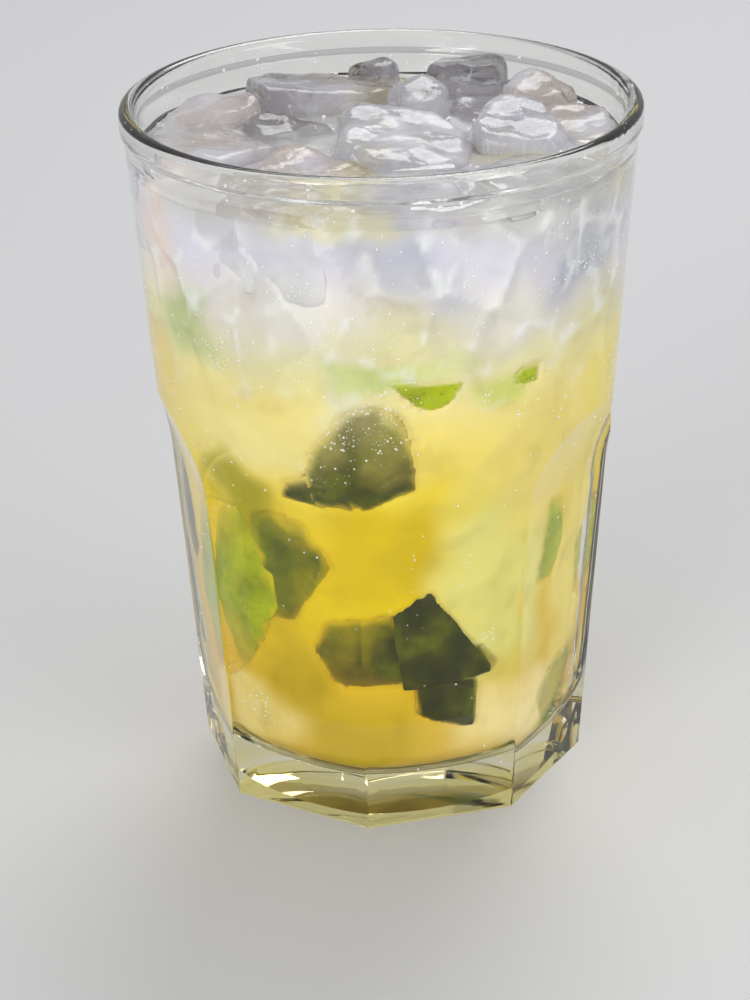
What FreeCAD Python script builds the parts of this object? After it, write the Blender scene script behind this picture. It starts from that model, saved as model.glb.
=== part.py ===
"""A caipirinha: a faceted tumbler of clear glass, filled with a cloudy drink that holds ice up to the brim.

Frame: +Z up, the origin at the centre of the base on the surface that the glass stands on. Flat facets of the
glass face -X, +X, -Y and +Y. Millimetres and degrees.
"""
import FreeCAD, Part

import math
import os

from FreeCAD import Rotation, Vector

# ---------------------------------------------------------------- driving dimensions of the glass
GLASS_HEIGHT = 116.0
RIM_DIAMETER = 84.0          # over the bead
RIM_WALL = 2.35
BEAD_HEIGHT = 3.6
BEAD_PROUD = 0.65            # how far the bead stands out of the round wall below it
BASE_CORNER_DIAMETER = 66.0  # of the cone that the eight corners of the base lie just inside
BASE_THICKNESS = 8.0
PUNT_DIAMETER = 46.0         # the shallow hollow under the base
PUNT_DEPTH = 1.8
FACETS = 8
FACET_INSET = 0.3            # how far the facets' corners lie inside the cone
ARCH_CROWN = 69.0            # height of the top of each facet's arch
FLARE_START = 54.5           # height where a facet starts to curve outwards
LOWER_WALL = 2.1             # at the middle of a facet, just under the flare
BASE_WALL = 2.9              # at the middle of a facet, beside the inner floor
UPPER_WALL = 2.2             # of the round part, from the arches up to the neck
EDGE_ROUND = 0.7             # on the corners and arches of the facets
HEEL_ROUND = 1.0             # under the corners of the base
FLOOR_ROUND = 5.0            # between the inner floor and the wall
SHOULDER_ROUND = 26.0        # the soft bends of the inner wall

# ---------------------------------------------------------------- driving dimensions of the contents
BRIM_TO_DRINK = 7.4          # from the rim down to the level of the drink
ICE_WALL_GAP = 0.5           # between a lump of ice and the glass
ICE_GAP = 0.5                # between two lumps of ice
ICE_MELT = 2.6               # rounding of the melted edges of a lump
ICE_CRACK_TURN = 37.0        # how far the second block that shapes a lump is turned
ICE_CRACK_STRETCH = 1.12     # how much larger the second block is

# Each lump of ice that shows above the drink: its middle (x, y) in plan as shares of the brim's inner radius,
# how far its top stands above the drink, its size (length, width, height), and its turn and two tilts.
ICE_LUMPS = {
    "ice_rear_left": ((-0.61, 0.59), 3.6, (20, 15, 15), (-38, -7, 6)),
    "ice_left": ((-0.70, 0.12), 3.2, (20, 24, 17), (12, 5, -6)),
    "ice_front_left": ((-0.43, -0.32), 2.3, (23, 22, 16), (38, -7, 6)),
    "ice_low_left": ((-0.59, -0.63), 1.4, (19, 15, 14), (-40, 6, 5)),
    "ice_wedge": ((-0.36, 0.24), 3.0, (18, 17, 14), (-30, 15, 9)),
    "ice_centre": ((0.04, -0.09), 5.2, (22, 25, 20), (-18, 8, 7)),
    "ice_pebble": ((-0.02, 0.25), 4.4, (8, 8, 11), (50, 10, -8)),
    "ice_knob": ((0.28, 0.37), 5.6, (10, 11, 18), (25, -6, 9)),
    "ice_frosty": ((-0.11, 0.66), 5.0, (28, 18, 17), (-9, 6, -5)),
    "ice_back": ((0.21, 0.86), 4.2, (9, 8, 12), (15, -9, 8)),
    "ice_back_right": ((0.58, 0.65), 6.0, (15, 14, 16), (60, 6, -7)),
    "ice_flake": ((0.81, 0.40), 4.4, (12, 14, 14), (28, -10, 5)),
    "ice_grey": ((0.54, 0.31), 2.4, (13, 12, 12), (12, 9, 9)),
    "ice_crystal": ((0.56, -0.10), 5.4, (16, 18, 18), (-33, 7, 8)),
    "ice_right": ((0.87, -0.06), 2.8, (13, 21, 16), (4, -5, 6)),
    "ice_front": ((-0.07, -0.66), 1.9, (26, 18, 15), (-14, -6, 4)),
    "ice_front_right": ((0.48, -0.61), 2.4, (20, 19, 16), (40, 6, -5)),
}

# ---------------------------------------------------------------- sizes that follow
RIM_RADIUS = RIM_DIAMETER / 2
NECK_RADIUS = RIM_RADIUS - BEAD_PROUD
NECK_HEIGHT = GLASS_HEIGHT - BEAD_HEIGHT
BASE_RADIUS = BASE_CORNER_DIAMETER / 2
TAPER = (NECK_RADIUS - BASE_RADIUS) / NECK_HEIGHT
HALF_FACET = math.pi / FACETS
BRIM_RADIUS = NECK_RADIUS - UPPER_WALL
DRINK_LEVEL = GLASS_HEIGHT - BRIM_TO_DRINK
FAR = 3 * (GLASS_HEIGHT + RIM_DIAMETER)  # longer than anything it has to cut


def cone_radius(height):
    """Radius of the round outer wall, which also holds the facets' corners."""
    return BASE_RADIUS + TAPER * height


def facet_distance(height):
    """Distance from the axis to the flat part of a facet."""
    return (cone_radius(height) - FACET_INSET) * math.cos(HALF_FACET)


def rounded_outline(corners):
    """Edges through (radius, height, rounding) corners in the XZ plane, each corner with its tangent arc."""
    points = [Vector(r, 0, z) for r, z, _ in corners]
    edges = []
    last = points[0]
    for i in range(1, len(corners) - 1):
        corner, rounding = points[i], corners[i][2]
        back = (points[i - 1] - corner).normalize()
        ahead = (points[i + 1] - corner).normalize()
        if rounding == 0:
            edges.append(Part.LineSegment(last, corner).toShape())
            last = corner
            continue
        half = back.getAngle(ahead) / 2
        reach = rounding / math.tan(half)
        start = corner + back * reach
        end = corner + ahead * reach
        middle = (back + ahead).normalize()
        centre = corner + middle * (rounding / math.sin(half))
        edges.append(Part.LineSegment(last, start).toShape())
        edges.append(Part.Arc(start, centre - middle * rounding, end).toShape())
        last = end
    edges.append(Part.LineSegment(last, points[-1]).toShape())
    return edges


def spin(edges):
    """The solid that a closed outline makes about the Z axis."""
    face = Part.Face(Part.Wire(Part.__sortEdges__(edges)))
    return face.revolve(Vector(0, 0, 0), Vector(0, 0, 1), 360)


def inner_wall_corners(offset=0.0):
    """The inner wall from the rim down to the edge of the floor, moved inwards by offset."""
    shoulder = cone_radius(ARCH_CROWN) - UPPER_WALL
    waist = facet_distance(FLARE_START) - LOWER_WALL
    foot = facet_distance(BASE_THICKNESS) - BASE_WALL
    return [
        (BRIM_RADIUS - offset, NECK_HEIGHT, 2 * BEAD_HEIGHT),
        (shoulder - offset, ARCH_CROWN, SHOULDER_ROUND),
        (waist - offset, FLARE_START, SHOULDER_ROUND),
        (foot - offset, BASE_THICKNESS + offset, FLOOR_ROUND),
    ]


def turned_blank():
    """The glass before its facets are cut."""
    lip = RIM_WALL / 2 - 0.02
    outline = [
        (PUNT_DIAMETER / 2, 0, 0),
        (BASE_RADIUS, 0, 0),
        (NECK_RADIUS, NECK_HEIGHT - BEAD_PROUD, BEAD_PROUD),
        (RIM_RADIUS, NECK_HEIGHT + BEAD_PROUD / 2, BEAD_PROUD),
        (RIM_RADIUS, GLASS_HEIGHT, lip),
        (RIM_RADIUS - RIM_WALL, GLASS_HEIGHT, lip),
        *inner_wall_corners(),
        (0, BASE_THICKNESS, 0),
    ]
    punt_radius = PUNT_DIAMETER / 2
    punt_sphere = (punt_radius**2 + PUNT_DEPTH**2) / (2 * PUNT_DEPTH)
    half_way = punt_radius / 2
    half_way_up = PUNT_DEPTH - punt_sphere + math.sqrt(punt_sphere**2 - half_way**2)
    top = Vector(0, 0, PUNT_DEPTH)
    edge = Vector(punt_radius, 0, 0)
    punt = Part.Arc(top, Vector(half_way, 0, half_way_up), edge).toShape()
    axis = Part.LineSegment(Vector(0, 0, BASE_THICKNESS), top).toShape()
    return spin([*rounded_outline(outline), axis, punt])


def facet_cutter():
    """What is taken off outside one facet, which faces +X: flat below, then curving out to the arch's crown."""
    rise = ARCH_CROWN - FLARE_START
    sweep = cone_radius(ARCH_CROWN) - facet_distance(ARCH_CROWN)
    flare_radius = (rise**2 + sweep**2) / (2 * sweep)
    below = -HEEL_ROUND
    foot = Vector(facet_distance(below), 0, below)
    start = Vector(facet_distance(FLARE_START), 0, FLARE_START)
    up = (start - foot).normalize()
    out = Vector(up.z, 0, -up.x)

    def on_flare(angle):
        return start + up * (flare_radius * math.sin(angle)) + out * (flare_radius * (1 - math.cos(angle)))

    crown_angle = math.asin(rise / flare_radius)
    end = on_flare(2 * crown_angle)
    outside = Vector(FAR, 0, end.z)
    corner = Vector(FAR, 0, below)
    edges = [
        Part.LineSegment(foot, start).toShape(),
        Part.Arc(start, on_flare(crown_angle), end).toShape(),
        Part.LineSegment(end, outside).toShape(),
        Part.LineSegment(outside, corner).toShape(),
        Part.LineSegment(corner, foot).toShape(),
    ]
    face = Part.Face(Part.Wire(edges))
    face.translate(Vector(0, -RIM_RADIUS, 0))
    return face.extrude(Vector(0, 2 * RIM_RADIUS, 0))


def is_facet_edge(edge):
    """Whether an edge is a corner between two facets or an arch above one."""
    low, high = edge.BoundBox.ZMin, edge.BoundBox.ZMax
    middle = edge.CenterOfMass
    outside = math.hypot(middle.x, middle.y) > facet_distance(middle.z) - EDGE_ROUND
    return outside and high < ARCH_CROWN + EDGE_ROUND and high - low > EDGE_ROUND


def is_heel_edge(edge):
    """Whether an edge is the foot of one facet, and not the round edge of the punt."""
    middle = edge.CenterOfMass
    return edge.BoundBox.ZMax < EDGE_ROUND / 10 and math.hypot(middle.x, middle.y) > PUNT_DIAMETER / 2


def make_glass():
    """The tumbler: turned, its facets cut, and their edges rounded as a mould leaves them."""
    glass = turned_blank()
    cutter = facet_cutter()
    for turn in range(FACETS):
        one = cutter.copy()
        one.rotate(Vector(0, 0, 0), Vector(0, 0, 1), 360 / FACETS * turn)
        glass = glass.cut(one)
    glass = glass.makeFillet(EDGE_ROUND, [edge for edge in glass.Edges if is_facet_edge(edge)])
    return glass.makeFillet(HEEL_ROUND, [edge for edge in glass.Edges if is_heel_edge(edge)])


def make_cavity(offset=0.0):
    """The space inside the glass, drawn in from the wall and the floor by offset and straight past the neck."""
    wall = inner_wall_corners(offset)
    wall_radius = wall[0][0]
    floor = BASE_THICKNESS + offset
    outline = [(0, GLASS_HEIGHT, 0), (wall_radius, GLASS_HEIGHT, 0), *wall, (0, floor, 0)]
    axis = Part.LineSegment(Vector(0, 0, floor), Vector(0, 0, GLASS_HEIGHT)).toShape()
    return spin([*rounded_outline(outline), axis])


def half_space(point, normal):
    """A block that holds everything behind the plane through point, on the side away from normal."""
    block = Part.makeBox(FAR, FAR, FAR, Vector(-FAR / 2, -FAR / 2, -FAR))
    block.Placement = FreeCAD.Placement(point, Rotation(Vector(0, 0, 1), normal))
    return block


def melted_block(size, rotation):
    """A block of ice with rounded edges, about the origin."""
    length, width, height = size
    block = Part.makeBox(length, width, height, Vector(-length / 2, -width / 2, -height / 2))
    block = block.makeFillet(ICE_MELT, block.Edges)
    block.Placement = FreeCAD.Placement(Vector(0, 0, 0), rotation)
    return block


def lump_middle(name):
    """The middle of a lump in plan."""
    x, y = ICE_LUMPS[name][0]
    return Vector(x * BRIM_RADIUS, y * BRIM_RADIUS, 0)


def lump_reach(name):
    """Half the width of a lump in plan, which shares the space out between neighbours."""
    length, width, _ = ICE_LUMPS[name][2]
    return (length + width) / 4


def make_ice_lump(name, cavity):
    """One lump: the common part of two blocks, drawn back from its neighbours and the glass."""
    _, rise, size, (turn, tilt_x, tilt_y) = ICE_LUMPS[name]
    longer = [side * ICE_CRACK_STRETCH for side in size]
    first = melted_block(size, Rotation(turn, tilt_x, tilt_y))
    second = melted_block(longer, Rotation(turn + ICE_CRACK_TURN, -tilt_y, tilt_x))
    lump = first.common(second)
    here = lump_middle(name)
    reach = lump_reach(name)
    lump.translate(here + Vector(0, 0, DRINK_LEVEL + rise - lump.BoundBox.ZMax))
    for other in ICE_LUMPS:
        away = lump_middle(other) - here
        apart = away.Length
        other_reach = lump_reach(other)
        if other == name or apart > 2 * (reach + other_reach):
            continue
        share = (apart**2 + reach**2 - other_reach**2) / (2 * apart)
        away.normalize()
        lump = lump.common(half_space(here + away * (share - ICE_GAP / 2), away))
    return lump.common(cavity)


def make_drink(cavity, ice):
    """The drink up to its level, cut round the ice that stands in it."""
    drink = cavity.common(half_space(Vector(0, 0, DRINK_LEVEL), Vector(0, 0, 1)))
    for lump in ice.values():
        drink = drink.cut(lump)
    return drink


def main():
    os.makedirs("parts", exist_ok=True)
    ice_cavity = make_cavity(ICE_WALL_GAP)
    pieces = {name: make_ice_lump(name, ice_cavity) for name in ICE_LUMPS}
    pieces["drink"] = make_drink(make_cavity(), pieces)
    pieces["glass"] = make_glass()
    for name, piece in pieces.items():
        shape = piece.Solids[0] if len(piece.Solids) == 1 else piece
        print(f"{name}: {len(piece.Solids)} solid, valid {shape.isValid()}, {shape.Volume / 1000:.2f} cm3")
        shape.exportStep(f"parts/{name}.step")


main()
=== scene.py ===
"""A caipirinha in its faceted tumbler: clear glass, cloudy lime drink, sunk lime and ice, ice at the brim."""
import math
import random

import bmesh
import bpy
import numpy as np
from mathutils import Euler, Matrix, Vector, noise
from mathutils.bvhtree import BVHTree


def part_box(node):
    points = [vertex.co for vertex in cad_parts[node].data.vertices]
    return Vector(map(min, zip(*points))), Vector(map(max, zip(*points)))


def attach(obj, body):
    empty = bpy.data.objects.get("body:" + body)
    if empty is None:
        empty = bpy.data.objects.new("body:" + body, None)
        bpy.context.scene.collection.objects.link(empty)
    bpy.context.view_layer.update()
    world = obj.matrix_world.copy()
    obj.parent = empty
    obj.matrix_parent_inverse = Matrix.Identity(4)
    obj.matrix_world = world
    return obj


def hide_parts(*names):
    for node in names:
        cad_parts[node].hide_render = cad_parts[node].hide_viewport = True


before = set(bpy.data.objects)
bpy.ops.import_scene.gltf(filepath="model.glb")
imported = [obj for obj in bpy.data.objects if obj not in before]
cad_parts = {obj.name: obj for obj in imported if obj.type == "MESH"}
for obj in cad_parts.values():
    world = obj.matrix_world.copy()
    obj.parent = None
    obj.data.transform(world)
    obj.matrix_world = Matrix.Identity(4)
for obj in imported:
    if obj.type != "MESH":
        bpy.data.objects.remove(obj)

MM = 0.001

# Without a seed of its own, the swirls' noise would start from the clock and differ from run to run.
NOISE_SEED = 1
noise.seed_set(NOISE_SEED)
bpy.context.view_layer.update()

# ---------------------------------------------------------------- places that the frame gives
GLASS_LOW, GLASS_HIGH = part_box("glass")
DRINK_LOW, DRINK_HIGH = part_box("drink")
RIM_HEIGHT = GLASS_HIGH.z
RIM_RADIUS = (GLASS_HIGH.x - GLASS_LOW.x) / 2
LEVEL = DRINK_HIGH.z
INNER_FLOOR = DRINK_LOW.z
ICE_NODES = sorted(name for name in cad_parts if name.startswith("ice_"))

# ---------------------------------------------------------------- sizes of what the scene adds
INTO_GLASS = 0.12 * MM       # how far the drink reaches into the wall, so that no air shows
CLEAR_DEPTH = 1.5 * MM       # of the thin drink between the wall and the cloud
ICE_CLEAR_DEPTH = 0.6 * MM   # of the same beside the packed ice
CLEAR_ABOVE = 1.4 * MM       # of the thin drink above the cloud
MENISCUS = 0.9 * MM          # how far the drink climbs the wall
ICE_SIZE = 10.0              # of the lumps packed against the wall, in millimetres
LIME_RADIUS = 30.0 * MM      # pressed flatter than a whole lime's
LIME_STRETCH = 1.4           # of the fruit's length over its width
BEHIND_FRONT = 0.7 * MM      # from a chunk's front to the cloud that it is sunk in
OVER_EDGE = 0.15 * MM        # from a chunk's edge out to the cloud that covers it
LIME_CALM = 3.0 * MM         # from a chunk out to where the cloud's dents begin
EDGE_SEEN = 0.7              # share of a chunk's colour above which the cloud lies well behind it
LIME_DEPTH = 11.0 * MM       # of a chunk, from its front to the fruit's core
LIME_RIND = 0.9 * MM
LIME_PITH = 2.4 * MM
LIME_SEGMENTS = 10
VEIL = 2.5                   # millimetres of cloudy drink that hide about two thirds of what is behind them
VEIL_START = 1.9             # millimetres below the wall where the drink begins to be cloudy
GRAIN = 0.62 * MM            # size of the faces of the lumps
SKY_LOW = (0.80, 0.81, 0.83, 1)
SKY_HIGH = (1.0, 1.0, 1.0, 1)
SKY_STRENGTH = 0.58
FLOOR_HALF_WIDTH = 3.0
FLOOR_BELOW = 0.05 * MM

# Soft lamps: name, bearing in degrees, distance and height in metres, width in metres, power in watts.
LAMPS = [
    ("key", -48, 0.80, 0.32, 0.40, 3.0),
    ("fill", 38, 0.85, 0.26, 0.50, 2.4),
    ("back", 150, 0.60, 0.80, 0.50, 3.6),
]

# The camera: angles in degrees, distance and target in millimetres, lens in millimetres of focal length.
CAMERA_AZIMUTH = -14.71
CAMERA_ELEVATION = 24.26
CAMERA_ROLL = -1.1
CAMERA_DISTANCE = 512.4
CAMERA_TARGET = (-2.11, 0.55, 45.49)
CAMERA_LENS = 108.9

# Chunks of muddled lime: bearing and height of the middle, gap to the wall, lean to the side and lean back
# in degrees, the side on which the rind is, how bright the rind is, over how far its edge is lost in the
# cloud, and the outline seen from outside, across and up. Lengths are in millimetres.
RIND_FRONT = (1, 0, 0)
RIND_TOP = (0, 0, 1)
RIND_BELOW = (0, 0, -1)
DOME = [(-8, 0.5), (-2.8, 9.4), (2.6, 11.4), (7.2, 9.4), (9, 4.5), (9.4, -5.6), (0.5, -9), (-8, -8.4)]
TAIL = [(-4.4, -2.8), (-3.6, 1.8), (0.8, 3.6), (6, 3), (6, -3.6), (1.5, -3.2)]
BLADE = [(-9, 9.5), (-4, 11.5), (3.6, 10), (8.4, 1.8), (0, -10.4), (-4.6, -10.8)]
FLANK = [(-3, 21), (3.8, 18), (10.8, 9.4), (11.4, -1), (2.8, -14.2), (-4.4, -21.5), (-11.8, -7), (-7.4, 11)]
DIAMOND = [(-8.2, 8), (-1.4, 11.9), (10.8, -6), (-6, -7)]
DIAMOND_FOOT = [(-5.6, 4), (-4, 6), (5.4, 5.2), (6, 3.6), (5.6, -5.8), (2.2, -5.2), (-5, -1.8)]
DIAMOND_END = [(-5.4, 5.8), (6, 8.4), (7, -6.4), (-0.6, -7.6), (-4.6, -6.2), (-7.8, -0.5)]
LEAF = [(-5.8, 2.8), (6.8, 2.2), (4.4, -2.0), (1.4, -3.5), (-1.6, -1.8)]
CAPSULE = [(-2.5, 0.2), (-1.4, 1.8), (2.7, 1.9), (2.5, -1.7), (-0.8, -1.8)]
STRIP = [(-4.8, -7), (1.2, -8.4), (5, -2), (3.6, 6), (-2.4, 9.4)]
WEDGE = [(-11, 3), (-6, 8), (2, 9.5), (9, 6), (12, -1), (3, -7), (-6, -5)]
SLICE = [(-12, 5), (-4, 9), (6, 8.5), (13, 4), (9, -7), (-1, -9.5), (-10, -6)]
HUSK = [(-8, -9), (-9, 1), (-5, 10), (3, 12), (8, 5), (9, -4), (4, -10)]
LIME_CHUNKS = {
    "dome": (-23.0, 67.0, 1.6, 0, 3, RIND_FRONT, 0.05, 1.2, DOME),
    "dome_tail": (-39.0, 61.4, 1.7, 0, 0, RIND_FRONT, 0.0, 1.0, TAIL),
    "left_blade": (-46.0, 45.0, 1.7, -2, 0, RIND_FRONT, 0.25, 1.4, BLADE),
    "left_flank": (-74.0, 38.0, 1.5, 2, 0, RIND_FRONT, 0.85, 1.5, FLANK),
    "left_husk": (-112.0, 44.0, 1.6, 0, 0, RIND_FRONT, 0.0, 1.4, HUSK),
    "diamond": (0.0, 31.0, 0.4, 0, 0, RIND_FRONT, 0.0, 0.0, DIAMOND),
    "diamond_foot": (3.2, 21.0, 1.0, 3, 0, RIND_FRONT, 0.0, 0.5, DIAMOND_FOOT),
    "diamond_end": (-24.0, 31.5, 1.6, 2, 0, RIND_FRONT, 0.0, 1.0, DIAMOND_END),
    "small_leaf": (-6.0, 79.0, 1.2, 0, 0, RIND_FRONT, 1.0, 0.3, LEAF),
    "small_capsule": (22.0, 79.6, 1.2, 0, 0, RIND_FRONT, 1.0, 0.2, CAPSULE),
    "right_strip": (42.0, 46.0, 1.6, 0, 0, RIND_FRONT, 0.95, 1.0, STRIP),
    "right_foot": (62.0, 13.5, 1.6, 0, 0, RIND_FRONT, 0.6, 1.6, WEDGE),
    "side_slice": (88.0, 36.0, 1.0, 4, 0, RIND_TOP, 0.5, 1.0, SLICE),
    "side_dome": (106.0, 62.0, 1.6, -3, 4, RIND_FRONT, 0.1, 1.5, DOME),
    "back_husk": (138.0, 31.0, 1.6, 3, 0, RIND_FRONT, 0.2, 1.5, HUSK),
    "back_leaf": (126.0, 80.0, 1.0, 0, 0, RIND_FRONT, 0.9, 0.5, LEAF),
    "back_dome": (168.0, 63.0, 1.6, 2, 6, RIND_FRONT, 0.1, 1.3, DOME),
    "back_slice": (-168.0, 37.0, 1.0, -4, 0, RIND_BELOW, 0.5, 1.0, SLICE),
    "back_capsule": (-166.0, 84.0, 1.0, 0, 0, RIND_FRONT, 1.0, 0.4, CAPSULE),
    "far_blade": (-138.0, 60.0, 1.7, 3, 0, RIND_FRONT, 0.3, 1.6, BLADE),
    "far_diamond": (-132.0, 24.0, 0.4, -2, 0, RIND_FRONT, 0.0, 0.0, DIAMOND),
}

# Where tiny bubbles crowd against the wall: bearing, height and reach, and how many.
BUBBLE_CROWDS = [
    (-22, 74, 7, 2.6), (-30, 68, 5, 1.0), (-12, 71, 5, 0.8), (10.3, 77.8, 1.1, 8.0), (17.8, 32.2, 1.2, 4.0),
    (-12, 80, 5, 2.0), (-36, 98, 5, 3.0), (-24, 90, 4, 2.0),
    (-58, 86, 5, 2.6), (-60, 82, 3, 2.0), (4, 98, 4, 3.0), (6, 91, 3, 2.0), (38, 96, 4, 3.0),
    (26, 103, 3, 2.0), (44, 103, 5, 2.0), (16, 34, 4, 1.0), (-64, 18, 5, 1.6), (18, 74, 3, 1.6),
    (70, 98, 6, 2.4), (100, 90, 6, 2.0), (132, 97, 6, 3.0), (160, 88, 6, 2.4), (-170, 99, 6, 3.0),
    (-140, 90, 6, 2.4), (-112, 97, 5, 2.6), (-88, 92, 5, 2.0), (106, 70, 6, 2.0), (168, 71, 6, 2.0),
]


# ---------------------------------------------------------------- colours
def srgb(red, green, blue, alpha=1.0):
    """A colour given as seen on a screen, 0 to 255, as the linear value that a shader takes."""
    def linear(value):
        value /= 255
        return value / 12.92 if value <= 0.04045 else ((value + 0.055) / 1.055) ** 2.4
    return (linear(red), linear(green), linear(blue), alpha)


# The cloud's colour from the inner floor up to the level, as heights in millimetres.
CLOUD_BY_HEIGHT = [
    # The lowest stop, pale and bright, is a painted glow on the cloud's underside, which the lamps hardly
    # reach.
    (8.9, srgb(255, 226, 110)),
    (10.5, srgb(220, 180, 70)),
    (22, srgb(226, 184, 30)),
    (45, srgb(236, 202, 0)),
    (58, srgb(244, 214, 60)),
    (68, srgb(246, 222, 116)),
    (77, srgb(240, 222, 152)),
    (84, srgb(228, 220, 174)),
    (91, srgb(228, 220, 212)),
    (98, srgb(218, 212, 228)),
    (103, srgb(213, 209, 224)),
    (108, srgb(204, 201, 203)),
]

# White of the ridges of packed ice in the cloud: hair cracks of ice and painted highlight.
CRACK_AND_HIGHLIGHT_WHITE = srgb(244, 243, 248)

# Places where the cloud has another colour: bearing, height, half width, half height, lean in degrees,
# colour and strength.
CLOUD_PATCHES = [
    (-20, 51, 9, 12, 0, srgb(226, 190, 0), 1.0),
    (-6, 50, 6, 12, 0, srgb(214, 182, 0), 1.0),
    (17, 42, 11, 26, 0, srgb(232, 220, 126), 1.0),
    (40, 62, 18, 12, 0, srgb(240, 216, 120), 0.9),
    (-66, 14.5, 11, 7.5, 10, srgb(240, 212, 120), 1.0),
    (-26, 15, 12, 8, 0, srgb(198, 166, 0), 0.9),
    (32, 15, 13, 8, 0, srgb(255, 232, 160), 0.9),
    (-48, 27, 9, 9, -30, srgb(196, 164, 0), 0.8),
    (-56, 68, 12, 7, 0, srgb(244, 226, 150), 0.8),
    (-40, 76, 9, 5, 20, srgb(246, 226, 140), 0.6),
    (-14, 83, 13, 4, 0, srgb(206, 218, 140), 0.8),
    (16, 77, 5, 5, 40, srgb(196, 208, 90), 0.7),
    (-72, 87, 7, 7, 20, srgb(188, 200, 140), 0.8),
    (64, 36, 11, 26, 0, srgb(248, 226, 122), 0.9),
    (58, 74, 10, 10, 0, srgb(246, 222, 84), 0.7),
    (-78, 99, 8, 9, 0, srgb(240, 216, 206), 0.7),
    (-100, 76, 14, 9, 0, srgb(242, 214, 112), 0.8),
    (-118, 22, 12, 9, 0, srgb(232, 212, 140), 0.9),
    (-150, 50, 9, 13, 0, srgb(222, 188, 0), 0.9),
    (160, 42, 11, 20, 0, srgb(232, 220, 122), 0.9),
    (118, 46, 9, 14, 0, srgb(220, 186, 0), 0.9),
    (150, 84, 12, 5, 0, srgb(204, 214, 140), 0.8),
    (108, 14, 12, 7, 0, srgb(232, 212, 136), 0.9),
    (82, 84, 9, 6, 0, srgb(196, 206, 140), 0.6),
    (40, 97, 9, 6, 30, srgb(172, 176, 196), 0.8),
    (50, 104, 10, 8, 0, srgb(190, 188, 200), 0.7),
    (-10, 100, 10, 5, -20, srgb(188, 190, 208), 0.6),
    (-36, 93, 7, 7, -35, srgb(232, 226, 224), 0.7),
    (14, 90, 8, 5, 20, srgb(232, 226, 222), 0.6),
    (88, 100, 9, 6, 20, srgb(182, 186, 202), 0.7),
    (140, 96, 9, 6, -20, srgb(182, 186, 202), 0.7),
    (-150, 100, 10, 6, 20, srgb(182, 186, 202), 0.7),
    (-28, 108, 12, 4, 0, srgb(220, 210, 160), 0.7),
    (55, 108, 10, 4, 0, srgb(218, 210, 170), 0.6),
    (170, 108, 12, 4, 0, srgb(218, 210, 165), 0.6),
    (-64, 56, 7, 8, 20, srgb(160, 152, 0), 0.8),
    (60, 9.5, 7, 3.5, 0, srgb(110, 140, 0), 1.0),
    (-124, 52, 7, 8, 0, srgb(150, 148, 0), 0.7),
    (-162, 78, 9, 6, 20, srgb(240, 222, 132), 0.7),
]


# How the lumps at the brim look: how milky and how streaked they are, the colour of their clear ice and of
# their milky ice, which on some lumps is painted darkness.
# The grey clear colour and the grey milk make some lumps dark: painted darkness that stands in for dark
# surroundings seen through the ice.
WATER, PAINTED_DARK_CLEAR, CREAM = srgb(232, 232, 236), srgb(150, 146, 148), srgb(226, 214, 204)
MILK, WARM_MILK, PAINTED_DARK_MILK = srgb(170, 169, 177), srgb(182, 168, 154), srgb(126, 121, 124)
ICE_LOOKS = {
    "ice_frosty": (0.5, 0.0, PAINTED_DARK_CLEAR, PAINTED_DARK_MILK),
    "ice_back": (0.3, 0.0, PAINTED_DARK_CLEAR, MILK),
    "ice_back_right": (0.25, 0.0, PAINTED_DARK_CLEAR, PAINTED_DARK_MILK),
    "ice_grey": (0.3, 0.0, PAINTED_DARK_CLEAR, PAINTED_DARK_MILK),
    "ice_wedge": (0.3, 0.0, PAINTED_DARK_CLEAR, PAINTED_DARK_MILK),
    "ice_knob": (0.8, 0.2, WATER, MILK),
    "ice_pebble": (0.5, 0.0, WATER, MILK),
    "ice_centre": (0.95, 0.0, WATER, MILK),
    "ice_crystal": (0.6, 1.0, WATER, MILK),
    "ice_right": (0.7, 0.0, CREAM, WARM_MILK),
    "ice_flake": (0.8, 0.0, CREAM, WARM_MILK),
    "ice_rear_left": (0.6, 0.0, CREAM, WARM_MILK),
    "ice_left": (0.75, 0.0, CREAM, WARM_MILK),
    "ice_front_left": (0.6, 0.0, CREAM, WARM_MILK),
    "ice_low_left": (0.6, 0.0, CREAM, WARM_MILK),
    "ice_front": (0.7, 0.0, WATER, MILK),
    "ice_front_right": (0.6, 0.3, WATER, MILK),
}


# ---------------------------------------------------------------- the inner wall
def tree_of(node):
    """A search tree of a CAD node's faces."""
    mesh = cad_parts[node].data
    corners = [vertex.co.copy() for vertex in mesh.vertices]
    return BVHTree.FromPolygons(corners, [tuple(face.vertices) for face in mesh.polygons])


def measured_wall():
    """Heights and radii of the inner wall, read off the drink's solid and carried on up to the rim."""
    tree = tree_of("drink")
    heights = list(np.linspace(INNER_FLOOR + 0.01 * MM, LEVEL - 0.01 * MM, 200))
    radii = []
    for height in heights:
        hit = tree.ray_cast(Vector((-2 * RIM_RADIUS, 0, height)), Vector((1, 0, 0)))[0]
        radii.append(abs(hit.x))
    taper = (radii[-1] - radii[-20]) / (heights[-1] - heights[-20])
    return heights + [RIM_HEIGHT], radii + [radii[-1] + taper * (RIM_HEIGHT - heights[-1])]


WALL_HEIGHTS, WALL_RADII = measured_wall()


def wall_radius(height):
    return float(np.interp(height, WALL_HEIGHTS, WALL_RADII))


def depths_below_wall(mesh):
    """Distance from the inner wall inwards to each vertex of a mesh."""
    x, y, height = places_of(mesh).T
    return np.interp(height, WALL_HEIGHTS, WALL_RADII) - np.hypot(x, y)


def at_bearing(bearing, radius, height):
    """The point at a bearing in degrees, from -Y towards +X."""
    angle = math.radians(bearing)
    return Vector((radius * math.sin(angle), -radius * math.cos(angle), height))


# ---------------------------------------------------------------- help with meshes
def make_object(name, mesh):
    piece = bpy.data.objects.new(name, mesh)
    bpy.context.scene.collection.objects.link(piece)
    return piece


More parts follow.
